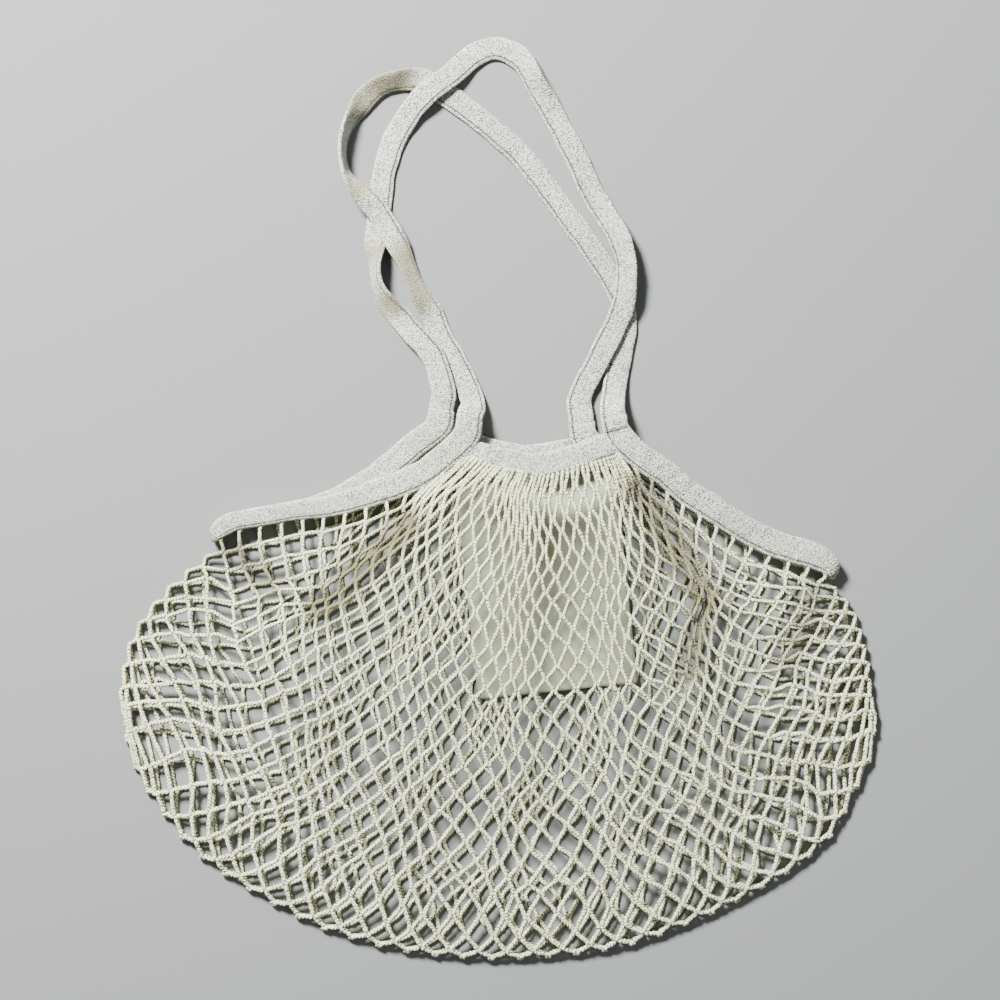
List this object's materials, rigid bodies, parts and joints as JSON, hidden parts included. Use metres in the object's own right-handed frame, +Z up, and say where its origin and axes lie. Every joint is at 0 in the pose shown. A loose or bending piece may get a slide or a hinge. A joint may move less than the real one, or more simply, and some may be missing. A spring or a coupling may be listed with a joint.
{
  "type": "string shopping bag",
  "caption": "Cotton net shopping bag lying flat: coarse diamond net gathered to a short bound mouth, bound open side slits, and long tape handles laid in crossing loops",
  "frame": {"origin": "middle of the bounding box, on the surface that the bag lies on", "axes": "+Y from the bottom fold of the net to the handles, +X to the right as seen from above, +Z up, away from the surface"},
  "size_m": [0.4557, 0.5535, 0.0276],
  "materials": {
    "net": "matt knitted cotton net",
    "tape": "matt knitted cotton tape",
    "label": "matt woven cotton"
  },
  "bodies": {
    "root": {"net_back": "net", "net_front": "net", "back_mouth_band": "tape", "front_mouth_band": "tape", "side_band_left": "tape", "side_band_right": "tape", "back_handle": "tape", "front_handle": "tape", "inner_label": "label"}
  },
  "joints": []
}
